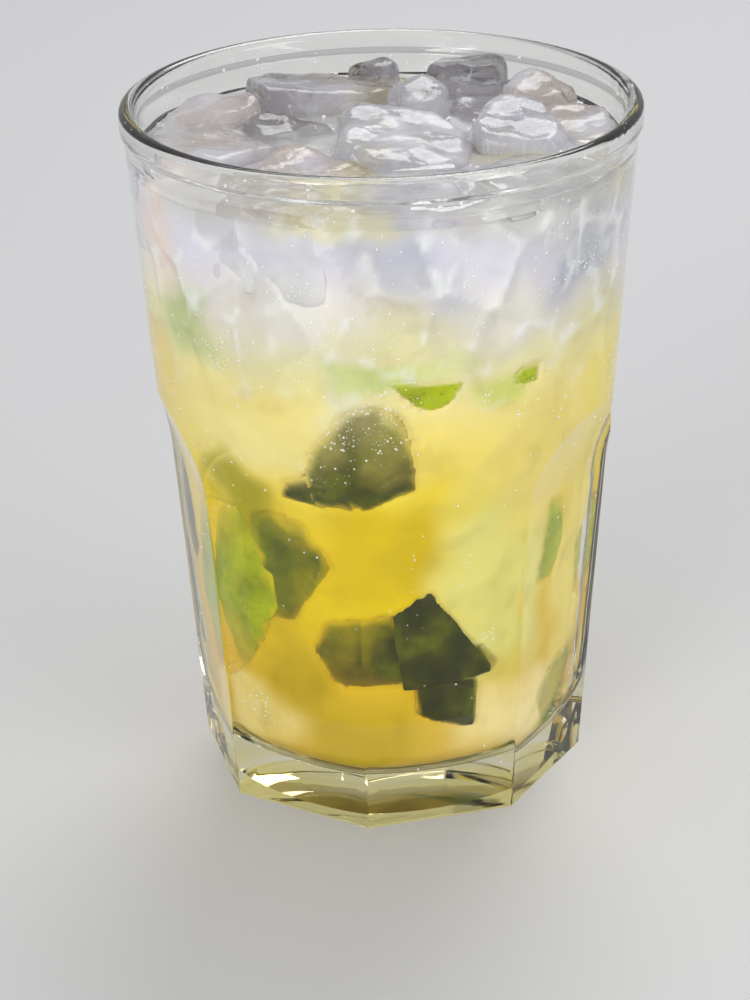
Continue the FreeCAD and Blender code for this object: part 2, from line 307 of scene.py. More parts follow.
def baked(piece):
    """Turns a piece and its modifiers into a plain mesh."""
    graph = bpy.context.evaluated_depsgraph_get()
    mesh = bpy.data.meshes.new_from_object(piece.evaluated_get(graph))
    piece.modifiers.clear()
    piece.data = mesh
    return piece


def evenly_meshed(mesh, grain, rounds):
    """A mesh made again with even faces of about the grain's size, and smoothed."""
    piece = make_object("even", mesh)
    remesh = piece.modifiers.new("even", "REMESH")
    remesh.mode = "VOXEL"
    remesh.voxel_size = grain
    smooth = piece.modifiers.new("smooth", "SMOOTH")
    smooth.factor = 0.5
    smooth.iterations = rounds
    result = baked(piece).data
    bpy.data.objects.remove(piece)
    return result


def joined(name, meshes):
    """One piece from several meshes, with their attributes kept."""
    parts = [make_object(name, mesh) for mesh in meshes]
    if len(parts) > 1:
        with bpy.context.temp_override(active_object=parts[0], selected_editable_objects=parts):
            bpy.ops.object.join()
    return parts[0]


def finish_piece(piece, material, smooth=True):
    """Gives a piece its material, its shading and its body."""
    piece.data.materials.clear()
    piece.data.materials.append(material)
    if smooth:
        piece.data.shade_smooth()
    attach(piece, "root")
    return piece


def places_of(mesh):
    """The places of a mesh's vertices, one in each row."""
    places = np.empty(len(mesh.vertices) * 3)
    mesh.vertices.foreach_get("co", places)
    return places.reshape(-1, 3)


def drifted(places, size, reach, seed):
    """Places moved by noise with swirls of about the size given, by up to the reach, in millimetres."""
    drift = Vector((seed, 0, 0))
    moves = [noise.noise_vector(Vector(place) / (size * MM) + drift) for place in places]
    return places + np.array(moves) * reach * MM


def cloud_tints(places):
    """The cloudy drink's colour at each place: by its height, in soft patches, swirled a little."""
    height = drifted(places, 15, 7, 3)[:, 2] / MM
    heights = [stop[0] for stop in CLOUD_BY_HEIGHT]
    colours = [stop[1] for stop in CLOUD_BY_HEIGHT]
    channels = [np.interp(height, heights, [colour[i] for colour in colours]) for i in range(3)]
    tints = np.stack(channels, axis=1)
    x, y, z = drifted(places, 8, 5, 9).T
    bearings = np.degrees(np.arctan2(x, -y))
    for bearing, height, half_width, half_height, lean, tint, strength in CLOUD_PATCHES:
        turn = (bearings - bearing + 180) % 360 - 180
        across = np.radians(turn) * wall_radius(height * MM) / MM
        up = z / MM - height
        cosine, sine = math.cos(math.radians(lean)), math.sin(math.radians(lean))
        along = (across * cosine + up * sine) / half_width
        beside = (up * cosine - across * sine) / half_height
        away = np.hypot(along, beside)
        share = np.clip((1.25 - away) / 0.85, 0, 1)
        share = (strength * share * share * (3 - 2 * share))[:, None]
        tints = tints * (1 - share) + np.array(tint[:3]) * share
    return ice_cracks_and_painted_light(tints, places)


def ice_cracks_and_painted_light(tints, places):
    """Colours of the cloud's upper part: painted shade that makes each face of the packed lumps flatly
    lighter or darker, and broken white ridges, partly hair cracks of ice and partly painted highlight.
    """
    for index in np.nonzero(places[:, 2] > 72 * MM)[0]:
        point = Vector(places[index])
        upper = min((point.z / MM - 72) / 16, 1)
        _, shade, ridge = packed_ice(point)
        broken = min(max(noise.noise(point / (4 * MM)) * 4, 0), 1)
        # Painted shade makes each face lighter or darker; the white on the ridges is hair cracks and painted
        # highlight.
        tints[index] *= 1 + upper * (0.26 * (shade - 0.5))
        white = 0.75 * upper * ridge * broken
        tints[index] = tints[index] * (1 - white) + np.array(CRACK_AND_HIGHLIGHT_WHITE[:3]) * white
    return tints


def keep(mesh, name, values, kind="FLOAT"):
    """Keeps a value for each vertex of a mesh, for its material to read."""
    attribute = mesh.attributes.new(name, kind, "POINT")
    field = {"FLOAT": "value", "FLOAT_VECTOR": "vector", "FLOAT_COLOR": "color"}[kind]
    attribute.data.foreach_set(field, values)


def store_surroundings(mesh):
    """Keeps each vertex's depth below the wall, in millimetres, and the cloud's colour there."""
    keep(mesh, "depth", depths_below_wall(mesh) / MM)
    places = places_of(mesh)
    tints = np.hstack([cloud_tints(places), np.ones((len(places), 1))])
    keep(mesh, "cloud", tints.ravel(), "FLOAT_COLOR")


def push_along_normals(mesh, push):
    """Moves each vertex along its normal by what push gives for its place."""
    normals = [vertex.normal.copy() for vertex in mesh.vertices]
    for vertex, normal in zip(mesh.vertices, normals):
        vertex.co += normal * push(vertex.co)


def lathe(name, outline, spokes, place=None):
    """A closed surface through an outline of (radius, height) that starts and ends on the axis.

    place may move a point of the surface: it gets the point and returns the new one.
    """
    bm = bmesh.new()
    rings = []
    for radius, height in outline:
        bearings = [0] if radius == 0 else [360 / spokes * i for i in range(spokes)]
        points = [at_bearing(bearing, radius, height) for bearing in bearings]
        rings.append([bm.verts.new(place(point) if place else point) for point in points])
    for low, high in zip(rings, rings[1:]):
        for i in range(spokes):
            ring = [low[i % len(low)], low[(i + 1) % len(low)]]
            ring += [high[(i + 1) % len(high)], high[i % len(high)]]
            bm.faces.new(list(dict.fromkeys(ring)))
    mesh = bpy.data.meshes.new(name)
    bm.to_mesh(mesh)
    bm.free()
    return mesh


def steps(start, end, spacing):
    """Even values from start to end, both included, about the spacing apart."""
    count = max(1, round(abs(end - start) / spacing))
    return [start + (end - start) * i / count for i in range(count + 1)]


# ---------------------------------------------------------------- help with materials
class Shader:
    """A material's node tree, with short calls to add to it."""

    def __init__(self, name):
        self.material = bpy.data.materials.new(name)
        self.material.use_nodes = True
        self.tree = self.material.node_tree
        self.tree.nodes.clear()
        self.out = self.add("ShaderNodeOutputMaterial")

    def add(self, kind, inputs=None, **settings):
        node = self.tree.nodes.new(kind)
        for name, value in settings.items():
            setattr(node, name, value)
        for name, value in (inputs or {}).items():
            self.feed(node.inputs[name], value)
        return node

    def feed(self, socket, value):
        """A value goes on the socket itself, and another node's output is linked to it."""
        if isinstance(value, bpy.types.NodeSocket):
            self.tree.links.new(value, socket)
        else:
            socket.default_value = value

    def place(self):
        return self.add("ShaderNodeTexCoord").outputs["Object"]

    def attribute(self, name, output="Fac"):
        return self.add("ShaderNodeAttribute", attribute_name=name).outputs[output]

    def math(self, operation, first, second=0.0):
        node = self.add("ShaderNodeMath", operation=operation)
        self.feed(node.inputs[0], first)
        self.feed(node.inputs[1], second)
        return node.outputs[0]

    def scaled(self, vector, scale):
        node = self.add("ShaderNodeVectorMath", operation="SCALE")
        self.feed(node.inputs[0], vector)
        self.feed(node.inputs["Scale"], scale)
        return node.outputs[0]

    def sum(self, first, second):
        node = self.add("ShaderNodeVectorMath", operation="ADD")
        self.feed(node.inputs[0], first)
        self.feed(node.inputs[1], second)
        return node.outputs[0]

    def noise(self, place, size, detail=2.0, output="Fac", roughness=0.5):
        """Noise whose features are about the size given, in millimetres."""
        return self.add("ShaderNodeTexNoise", {
            "Vector": place, "Scale": 1 / (size * MM), "Detail": detail, "Roughness": roughness,
        }).outputs[output]

    def wandered(self, place, size, reach):
        """The place moved by noise, by up to about half of the reach in millimetres."""
        drift = self.add("ShaderNodeVectorMath", operation="SUBTRACT")
        self.feed(drift.inputs[0], self.noise(place, size, output="Color"))
        drift.inputs[1].default_value = (0.5, 0.5, 0.5)
        return self.sum(place, self.scaled(drift.outputs[0], reach * MM))

    def fade(self, value, low, high, start=0.0, end=1.0, smooth=True):
        kind = "SMOOTHSTEP" if smooth else "LINEAR"
        return self.add("ShaderNodeMapRange", {
            "Value": value, "From Min": low, "From Max": high, "To Min": start, "To Max": end,
        }, interpolation_type=kind).outputs[0]

    def ramp(self, value, stops, smooth=False):
        node = self.add("ShaderNodeValToRGB", {"Fac": value})
        elements = node.color_ramp.elements
        node.color_ramp.interpolation = "EASE" if smooth else "LINEAR"
        while len(elements) < len(stops):
            elements.new(0.5)
        for element, (position, colour) in zip(elements, stops):
            element.position = position
            element.color = colour
        return node.outputs["Color"]

    def mix(self, share, first, second, blend="MIX"):
        node = self.add("ShaderNodeMix", data_type="RGBA", blend_type=blend)
        for socket, value in ((node.inputs[0], share), (node.inputs[6], first), (node.inputs[7], second)):
            self.feed(socket, value)
        return node.outputs[2]

    def bump(self, height, strength, distance, under=None):
        node = self.add("ShaderNodeBump", {"Height": height, "Strength": strength, "Distance": distance * MM})
        if under:
            self.feed(node.inputs["Normal"], under)
        return node.outputs[0]

    def principled(self, **inputs):
        names = {}
        for name, value in inputs.items():
            names[name.replace("_", " ").title().replace("Ior", "IOR")] = value
        return self.add("ShaderNodeBsdfPrincipled", names).outputs[0]

    def let_light_through(self, surface, tint):
        """Lamps and soft light shine through a clear surface instead of being held back by it."""
        clear = self.add("ShaderNodeBsdfTransparent", {"Color": tint}).outputs[0]
        path = self.add("ShaderNodeLightPath").outputs
        soft = self.math("MAXIMUM", path["Is Shadow Ray"], path["Is Diffuse Ray"])
        node = self.add("ShaderNodeMixShader", {"Fac": soft})
        self.feed(node.inputs[1], surface)
        self.feed(node.inputs[2], clear)
        return node.outputs[0]

    def mix_shaders(self, share, first, second):
        node = self.add("ShaderNodeMixShader", {"Fac": share})
        self.feed(node.inputs[1], first)
        self.feed(node.inputs[2], second)
        return node.outputs[0]

    def done(self, surface):
        self.feed(self.out.inputs["Surface"], surface)
        return self.material


def cloud_colour(shader, place):
    """The cloudy drink's colour, kept in the mesh, with finer swirls."""
    colour = shader.attribute("cloud", "Color")
    swirl = shader.noise(shader.wandered(place, 12, 14), 9, detail=3)
    lighter = shader.fade(swirl, 0.5, 0.72, 0.0, 0.3)
    colour = shader.mix(lighter, colour, (1.15, 1.15, 1.25, 1), "MULTIPLY")
    darker = shader.fade(swirl, 0.3, 0.48, 1.0, 0.0)
    return shader.mix(darker, colour, (0.9, 0.89, 0.86, 1), "MULTIPLY")


def veiled(shader, colour, place, veil=VEIL):
    """A sunk piece's colour, lost in the cloud towards its edge and the deeper it lies below the wall."""
    cloudy = shader.math("MAXIMUM", shader.math("SUBTRACT", shader.attribute("depth"), VEIL_START), 0.0)
    clear = shader.math("POWER", math.exp(-1 / veil), cloudy)
    clear = shader.math("MULTIPLY", clear, shader.attribute("seen"))
    return shader.mix(clear, cloud_colour(shader, place), colour)


# ---------------------------------------------------------------- materials
def wetted(shader, place):
    """0 on the glass that the drink wets, which hardly shines, and 1 on the rest of it."""
    parts = shader.add("ShaderNodeSeparateXYZ", {"Vector": place})
    flat = shader.add("ShaderNodeCombineXYZ", {"X": parts.outputs["X"], "Y": parts.outputs["Y"]}).outputs[0]
    length = shader.add("ShaderNodeVectorMath", operation="LENGTH")
    shader.feed(length.inputs[0], flat)
    stops = []
    for height in (INNER_FLOOR, *(share * LEVEL for share in (0.2, 0.45, 0.52, 0.58, 0.64, 0.7)), LEVEL):
        shade = (wall_radius(height) + MM) / RIM_RADIUS
        stops.append((height / LEVEL, (shade, shade, shade, 1)))
    limit = shader.ramp(shader.math("DIVIDE", parts.outputs["Z"], LEVEL), stops)
    outside = shader.math("GREATER_THAN", shader.math("DIVIDE", length.outputs["Value"], RIM_RADIUS), limit)
    above = shader.math("GREATER_THAN", parts.outputs["Z"], LEVEL + 0.5 * MENISCUS)
    below = shader.math("LESS_THAN", parts.outputs["Z"], INNER_FLOOR - 0.5 * MM)
    return shader.math("MAXIMUM", outside, shader.math("MAXIMUM", above, below))


WATER_IOR = 1.333
ICE_IOR = 1.31
THIN_GLASS = (0.985, 0.985, 0.95, 1)
# The base's golden tint: partly thick glass's own colour, partly a painted glow from the drink above it.
BASE_TINT_AND_GLOW = (0.98, 0.88, 0.36, 1)


def glass_material():
    """Clear glass, yellower in its thick base, partly as thick glass is and partly as a painted glow from the
    drink, with a moulded wall's faint waves and breath-like frost.
    """
    s = Shader("clear_glass")
    place = s.place()
    waves = s.noise(place, 16, detail=1)
    mould = s.bump(waves, 0.25, 0.25)
    frost = s.fade(s.noise(place, 9, detail=2, roughness=0.6), 0.52, 0.75, 0.0, 0.12)
    height = s.add("ShaderNodeSeparateXYZ", {"Vector": place}).outputs["Z"]
    # Below the inner floor the glass takes the golden tint, which is partly painted glow.
    thin = s.fade(height, INNER_FLOOR - 2 * MM, INNER_FLOOR + 4 * MM)
    tint = s.mix(thin, BASE_TINT_AND_GLOW, THIN_GLASS)
    surface = s.principled(base_color=tint, roughness=frost, ior=1.5, transmission_weight=1.0,
                           specular_tint=wetted(s, place), normal=mould)
    return s.done(s.let_light_through(surface, (0.98, 0.99, 0.98, 1)))


def clear_drink_material():
    """The thin drink next to the wall and at the surface, which shines only where air meets it."""
    s = Shader("clear_drink")
    place = s.place()
    ripple = s.bump(s.noise(place, 7, detail=2), 0.3, 0.3)
    height = s.add("ShaderNodeSeparateXYZ", {"Vector": place}).outputs["Z"]
    bare = s.math("GREATER_THAN", height, LEVEL - 0.3 * MM)
    surface = s.principled(base_color=(0.99, 0.995, 0.975, 1), roughness=0.0, ior=WATER_IOR,
                           transmission_weight=1.0, specular_tint=bare, normal=ripple)
    return s.done(s.let_light_through(surface, (0.985, 0.99, 0.97, 1)))


def cloud_material():
    """The cloudy drink: pale at the top and yellow below, with a painted glow on its underside, and in its
    upper part painted shade on the faces of packed ice and white ridges between them, partly hair cracks of
    ice and partly painted highlight.
    """
    s = Shader("cloudy_drink")
    place = s.place()
    colour = cloud_colour(s, place)
    grain = s.bump(s.noise(place, 2.5, detail=3), 0.3, 0.3)
    surface = s.principled(base_color=colour, roughness=0.6, specular_ior_level=0.0, normal=grain)
    return s.done(surface)


def ice_cracks(shader, place, low, high):
    """Thin white cracks, which begin between two heights in millimetres and end at the level."""
    bent = shader.wandered(place, 6, 5)
    cells = shader.add("ShaderNodeTexVoronoi", {"Vector": bent, "Scale": 1 / (11 * MM)},
                       feature="DISTANCE_TO_EDGE").outputs["Distance"]
    line = shader.fade(cells, 0.0, 0.035, 1.0, 0.0)
    broken = shader.fade(shader.noise(place, 8, detail=3), 0.5, 0.62)
    height = shader.add("ShaderNodeSeparateXYZ", {"Vector": place}).outputs["Z"]
    upper = shader.fade(height, low * MM, high * MM)
    return shader.math("MULTIPLY", shader.math("MULTIPLY", line, broken), upper)


def sunk_ice_look(s, place):
    """Ice under the drink: milky, faintly blue, and much the colour of the drink round it."""
    cloudy = s.noise(place, 5, detail=4)
    milky = [(0.34, srgb(186, 186, 200)), (0.5, srgb(198, 196, 206)), (0.66, srgb(216, 214, 222))]
    colour = s.ramp(cloudy, milky)
    colour = s.mix(0.55, colour, cloud_colour(s, place))
    colour = veiled(s, colour, place, 1.5)
    grain = s.bump(s.noise(place, 3.0, detail=3), 0.3, 0.25)
    return s.principled(base_color=colour, roughness=0.35, specular_ior_level=0.1, normal=grain)


def sunk_ice_material():
    s = Shader("sunk_ice")
    return s.done(sunk_ice_look(s, s.place()))


def lime_material():
    """Lime: pored green rind, pale pith and wet flesh in segments, by the depth below the fruit's skin."""
    s = Shader("lime")
    place = s.place()
    fruit = s.attribute("fruit", "Vector")
    under_skin = s.attribute("under_skin")
    around = s.attribute("around")
    mottle = s.noise(fruit, 7, detail=4)
    rind = s.ramp(mottle, [(0.32, srgb(40, 42, 0)), (0.5, srgb(60, 63, 0)), (0.68, srgb(98, 104, 0))])
    bright = s.ramp(mottle, [(0.3, srgb(140, 152, 0)), (0.6, srgb(182, 194, 0))])
    rind = s.mix(s.attribute("fresh"), rind, bright)
    pores = s.add("ShaderNodeTexVoronoi", {"Vector": fruit, "Scale": 1 / (1.1 * MM)}).outputs["Distance"]
    rind = s.mix(s.fade(pores, 0.1, 0.35, 0.3, 0.0), rind, srgb(38, 48, 0))
    sacs = s.noise(fruit, 1.8, detail=3)
    flesh = s.ramp(sacs, [(0.3, srgb(136, 144, 0)), (0.5, srgb(164, 174, 4)), (0.7, srgb(200, 204, 60))])
    membrane = s.fade(around, 0.0, 0.12, 0.6, 0.0)
    flesh = s.mix(membrane, flesh, srgb(206, 210, 110))
    pith = s.mix(s.fade(mottle, 0.3, 0.7), srgb(186, 194, 80), srgb(208, 212, 120))
    edge = s.noise(fruit, 3, detail=2)
    skin_end = s.math("ADD", under_skin, s.math("MULTIPLY", edge, 0.5))
    inner = s.mix(s.fade(skin_end, LIME_PITH / MM, LIME_PITH / MM + 0.7), pith, flesh)
    colour = s.mix(s.fade(skin_end, LIME_RIND / MM, LIME_RIND / MM + 0.45), rind, inner)
    colour = veiled(s, colour, place)
    normal = s.bump(pores, 0.5, 0.3, s.bump(sacs, 0.4, 0.4))
    surface = s.principled(base_color=colour, roughness=0.45, specular_ior_level=0.05, normal=normal)
    return s.done(surface)


def brim_ice_material():
    """Wet melting ice at the brim, glassy with white clouds and cracks. What is sunk of it is milky."""
    s = Shader("brim_ice")
    place = s.place()
    cloudy = s.noise(s.wandered(place, 8, 6), 9, detail=3)
    white = s.math("MULTIPLY", s.fade(cloudy, 0.32, 0.68, 0.25, 1.0), s.attribute("milky"))
    streaks = s.add("ShaderNodeVectorMath", {0: place, 1: (1, 1, 0.18)}, operation="MULTIPLY").outputs[0]
    streaks = s.fade(s.noise(streaks, 1.3, detail=3), 0.52, 0.66)
    white = s.math("MAXIMUM", white, s.math("MULTIPLY", streaks, s.attribute("streaked")))
    white = s.math("MAXIMUM", white, s.math("MULTIPLY", ice_cracks(s, place, 20, 30), 0.7))
    dents = s.bump(s.noise(place, 2.4, detail=3), 0.35, 0.5)
    # The clear and milky tints are grey on some lumps: painted darkness for dark surroundings seen through
    # the ice.
    clear = s.principled(base_color=s.attribute("clear_tint", "Color"), roughness=0.05, ior=ICE_IOR,
                         transmission_weight=1.0, normal=dents)
    milk = s.mix(s.fade(cloudy, 0.35, 0.65), s.attribute("milk_tint", "Color"), srgb(198, 197, 204))
    frost = s.principled(base_color=milk, roughness=0.2, ior=ICE_IOR, normal=dents)
    surface = s.let_light_through(s.mix_shaders(white, clear, frost), (0.86, 0.86, 0.86, 1))
    height = s.add("ShaderNodeSeparateXYZ", {"Vector": place}).outputs["Z"]
    sunk = s.fade(height, LEVEL - 2.2 * MM, LEVEL - 0.2 * MM, 1.0, 0.0)
    return s.done(s.mix_shaders(sunk, surface, sunk_ice_look(s, place)))


def bubble_material():
    """Tiny bubbles, which glint white."""
    s = Shader("bubble")
    shade = s.fade(s.noise(s.place(), 2, detail=1), 0.3, 0.7, 0.05, 0.2)
    surface = s.principled(base_color=srgb(248, 248, 244), roughness=shade, ior=1.3)
    return s.done(s.let_light_through(surface, (0.9, 0.9, 0.9, 1)))


def dew_material():
    """Clear beads of water."""
    s = Shader("dew")
    shade = s.fade(s.noise(s.place(), 2, detail=1), 0.3, 0.7, 0.0, 0.08)
    surface = s.principled(base_color=(0.96, 0.96, 0.97, 1), roughness=shade, ior=WATER_IOR,
                           transmission_weight=0.5)
    return s.done(s.let_light_through(surface, (0.95, 0.95, 0.95, 1)))


# ---------------------------------------------------------------- the drink
def radial_steps(radius, height, spacing):
    """Rings on a level disc from the axis out to just inside a radius."""
    return [(reach, height) for reach in steps(0, radius, spacing)[:-1]]


def packed_ice(point):
    """The nearest lump of ice packed against the wall: its face's depth in millimetres, the painted shade of
    its face, and how near it lies to a ridge, where white is painted as crack and highlight.
    """
    place = point / (ICE_SIZE * MM)
    place.z *= 0.8
    reaches, seeds = noise.voronoi(place)
    chance = noise.cell_vector(seeds[0] * 37.1)
    tilt = (chance - Vector((0.5, 0.5, 0.5))) * 0.6
    depth = (place - seeds[0]).dot(tilt) * ICE_SIZE + 0.7 * chance.x
    inside = min((reaches[1] - reaches[0]) / 0.3, 1)
    # A painted shade for the face, lighter or darker at random as if it caught the light differently.
    shade = noise.cell_vector(seeds[0] * 91.7).y
    # Nearness to the ridge, where the cloud gets white that stands for hair cracks and a painted highlight.
    ridge = 1 - min((reaches[1] - reaches[0]) / 0.14, 1)
    return min(max(depth, 0), 1.6) * inside, shade, ridge


def lumpiness(point):
    """How far the cloud's surface is dented inwards: faces of packed ice in the upper part, soft below."""
    upper = min(max((point.z / MM - 74) / 14, 0), 1)
    soft = abs(noise.noise(point / (9 * MM))) * 0.7 + noise.noise(point / (3 * MM)) * 0.12
    if upper == 0:
        return soft * MM
    return (packed_ice(point)[0] * upper + soft * (1 - 0.6 * upper)) * MM


def cloud_depth(height):
    """Thickness of the thin drink at the wall, which narrows beside the packed ice."""
    upper = min(max((height / MM - 80) / 12, 0), 1)
    return CLEAR_DEPTH * (1 - upper) + ICE_CLEAR_DEPTH * upper


def depth_by_limes(limes, point, way_in, thin, dented):
    """How deep below the wall the cloud lies, given how deep it lies where nothing is near.

    Its dents end near a chunk of lime. It lies behind what shows of the chunk, and over the chunk's edge,
    which is lost in it.
    """
    tree, seen = limes
    near = tree.find_nearest(point, LIME_CALM)[3]
    if near is None:
        return thin + dented
    free = thin + dented * near / LIME_CALM
    start = point - way_in * thin
    _, _, face, depth = tree.ray_cast(start, way_in, LIME_DEPTH / 2)
    if face is None:
        return free
    bared = min(seen[face] / EDGE_SEEN, 1)
    bared *= bared * (3 - 2 * bared)
    covering = min(free, depth - OVER_EDGE)
    behind = max(free, depth + BEHIND_FRONT)
    return covering * (1 - bared) + behind * bared


def make_cloud(limes):
    """The cloudy heart of the drink, with the sunk ice's relief. It gives way in front of the limes."""
    bottom = INNER_FLOOR + 0.9 * MM
    top = LEVEL - CLEAR_ABOVE
    low_edge = wall_radius(bottom) - cloud_depth(bottom)
    high_edge = wall_radius(top) - cloud_depth(top)
    outline = radial_steps(low_edge, bottom, 1.6 * MM)
    side = steps(bottom, top, 0.7 * MM)
    outline += [(wall_radius(height) - cloud_depth(height), height) for height in side]
    outline += reversed(radial_steps(high_edge, top, 0.9 * MM))

    def dent(point):
        radius = math.hypot(point.x, point.y)
        if radius < 1e-9:
            return point
        way_in = Vector((-point.x, -point.y, 0)) / radius
        dented = lumpiness(point)
        if point.z > top - 1e-6 and radius < high_edge - 1e-6:
            return point - Vector((0, 0, dented * 0.8))
        if point.z < bottom + 1e-6 and radius < low_edge - 1e-6:
            return point + Vector((0, 0, abs(dented) * 0.2))
        thin = cloud_depth(point.z)
        return point + way_in * (depth_by_limes(limes, point, way_in, thin, dented) - thin)

    mesh = lathe("cloud", outline, 300, dent)
    store_surroundings(mesh)
    return finish_piece(make_object("cloudy_drink", mesh), cloud_material())


def make_clear_drink(lumps):
    """The thin drink from the wall inwards, its surface climbing the glass and the lumps of ice."""
    bottom = INNER_FLOOR - INTO_GLASS
    outline = radial_steps(wall_radius(INNER_FLOOR), bottom, 3 * MM)
    outline += [(wall_radius(height) + INTO_GLASS, height) for height in steps(bottom, LEVEL, 0.9 * MM)]
    brim = wall_radius(LEVEL) + INTO_GLASS
    outline += reversed(radial_steps(brim, LEVEL, 0.7 * MM))

    def climb(point):
        radius = math.hypot(point.x, point.y)
        if point.z < LEVEL - 1e-6:
            return point
        from_wall = (brim - radius) / MM
        height = MENISCUS * (0.55 + 0.9 * noise.noise(point / (14 * MM)))
        rise = min(max(height, 0.1 * MM), MENISCUS) * math.exp(-from_wall / 0.9) if from_wall < 6 else 0
        near = lumps.find_nearest(point, 3 * MM)
        if near[0] is not None:
            rise += 0.6 * MENISCUS * math.exp(-near[3] / (0.8 * MM))
        return point + Vector((0, 0, min(rise, MENISCUS)))

    mesh = lathe("clear", outline, 260, climb)
    piece = make_object("clear_drink", mesh)
    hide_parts("drink")
    return finish_piece(piece, clear_drink_material())


# ---------------------------------------------------------------- lime
def cut_away(bm, point, normal):
    """Cuts off what lies beyond a plane and closes the cut."""
    everything = bm.verts[:] + bm.edges[:] + bm.faces[:]
    cut = bmesh.ops.bisect_plane(bm, geom=everything, plane_co=point, plane_no=normal, clear_outer=True)
    rim = [item for item in cut["geom_cut"] if isinstance(item, bmesh.types.BMEdge)]
    bmesh.ops.holes_fill(bm, edges=rim, sides=0)


def inside_outline(points, place):
    """How far a place lies inside a closed outline seen from the front."""
    nearest = 1.0
    for point, after in zip(points, points[1:] + points[:1]):
        along = after - point
        share = min(max((place - point).dot(along) / along.length_squared, 0), 1)
        nearest = min(nearest, (place - point - along * share).length)
    return nearest


def lime_chunk(outline, rind_side, fresh, softness, seed):
    """A chunk of lime, its front towards +X, cut to an outline of (across, up) out of the round fruit.

    Its sides close in towards the fruit's core. It keeps its place in the fruit, its depth below the skin and
    its place between two membranes.
    """
    rind_side = Vector(rind_side)
    points = [Vector((0, across, up)) * MM for across, up in outline]
    reach = max(point.dot(rind_side) for point in points)
    core = rind_side * (reach - LIME_RADIUS)
    bm = bmesh.new()
    bmesh.ops.create_icosphere(bm, subdivisions=5, radius=LIME_RADIUS)
    whole = Matrix.Translation(core) @ Matrix.Diagonal((1, 1, LIME_STRETCH, 1))
    bmesh.ops.transform(bm, matrix=whole, verts=bm.verts)
    rng = random.Random(seed)
    apex = Vector((-LIME_DEPTH * 2.6, 0, 0))
    middle = sum(points, Vector()) / len(points)
    for point, after in zip(points, points[1:] + points[:1]):
        side = (after - point).cross(apex - point).normalized()
        if side.dot(middle - point) > 0:
            side.negate()
        side = (side + Vector((rng.uniform(-0.12, 0.12), 0, 0))).normalized()
        cut_away(bm, point, side)
    cut_away(bm, Vector((0.02 * MM, 0, 0)), Vector((1, rng.uniform(-0.04, 0.04), 0)).normalized())
    cut_away(bm, Vector((-LIME_DEPTH, 0, 0)), Vector((-1, rng.uniform(-0.2, 0.2), 0)).normalized())
    bmesh.ops.recalc_face_normals(bm, faces=bm.faces)
    mesh = bpy.data.meshes.new("chunk")
    bm.to_mesh(mesh)
    bm.free()
    mesh = evenly_meshed(mesh, GRAIN, 3)
    drift = Vector((seed * 7.1, seed * 3.7, 0))
    fruit, under_skin, around, seen = [], [], [], []
    for vertex in mesh.vertices:
        co = vertex.co
        out = co - core
        out.z /= LIME_STRETCH
        fruit.extend(co + drift * MM)
        under_skin.append((LIME_RADIUS - out.length) / MM)
        segment = math.atan2(out.y, out.z + out.x) / math.tau * LIME_SEGMENTS
        around.append(abs(segment - round(segment)))
        from_edge = inside_outline(points, Vector((0, co.y, co.z))) / MM - 0.3
        wander = 1 + 0.8 * noise.noise(co / (3 * MM) + drift)
        soft = softness * (1 + max(co.z, 0) / (8 * MM))
        seen.append(min(max(from_edge / soft * wander, 0), 1) ** 0.8 if softness else 1.0)
    keep(mesh, "fruit", fruit, "FLOAT_VECTOR")
    keep(mesh, "under_skin", under_skin)
    keep(mesh, "around", around)
    keep(mesh, "seen", seen)
    keep(mesh, "fresh", [fresh] * len(seen))

    def torn(co):
        fine = noise.noise(co / (2.2 * MM) + drift) * 0.2
        coarse = noise.noise(co / (5 * MM) + drift) * 0.5
        return (fine + coarse) * MM

    push_along_normals(mesh, torn)
    if rind_side.x == 0:
        for vertex in mesh.vertices:
            vertex.co.x -= (vertex.co.y ** 2 + vertex.co.z ** 2) / (3 * LIME_RADIUS)
    return mesh


def seat_by_wall(mesh, turn, bearing, height, gap):
    """Turns a mesh, then slides it out along a bearing until it is the gap away from the wall."""
    outward = Matrix.Rotation(math.radians(bearing - 90), 4, "Z")
    mesh.transform(outward @ turn)
    way_out = at_bearing(bearing, 1, 0)
    mesh.transform(Matrix.Translation(Vector((0, 0, height))))
    for _ in range(12):
        mesh.transform(Matrix.Translation(way_out * (depths_below_wall(mesh).min() - gap)))
    return mesh


def make_limes():
    meshes = []
    for seed, chunk in enumerate(LIME_CHUNKS.values(), 1):
        bearing, height, gap, to_side, back, rind_side, fresh, softness, outline = chunk
        slope = math.atan2(wall_radius((height + 8) * MM) - wall_radius((height - 8) * MM), 16 * MM)
        sideways = Matrix.Rotation(math.radians(-to_side), 4, "Z")
        backwards = Matrix.Rotation(slope - math.radians(back), 4, "Y")
        turn = sideways @ backwards
        mesh = lime_chunk(outline, rind_side, fresh, softness, seed)
        meshes.append(seat_by_wall(mesh, turn, bearing, height * MM, gap * MM))
    piece = joined("lime_chunks", meshes)
    store_surroundings(piece.data)
    return finish_piece(piece, lime_material())


# ---------------------------------------------------------------- ice
def cracked_lump(size, seed):
    """A lump of broken ice: a block cut by planes at random."""
    rng = random.Random(seed)
    bm = bmesh.new()
    bmesh.ops.create_cube(bm, size=1)
    bmesh.ops.transform(bm, matrix=Matrix.Diagonal((size[0], size[1], size[2], 1)), verts=bm.verts)
    for _ in range(9):
        way = Vector((rng.gauss(0, 1), rng.gauss(0, 1), rng.gauss(0, 1))).normalized()
        reach = sum(abs(part) * side for part, side in zip(way, size)) / 2
        cut_away(bm, way * reach * rng.uniform(0.55, 0.8), way)
    bmesh.ops.recalc_face_normals(bm, faces=bm.faces)
    mesh = bpy.data.meshes.new("lump")
    bm.to_mesh(mesh)
    bm.free()
    return mesh


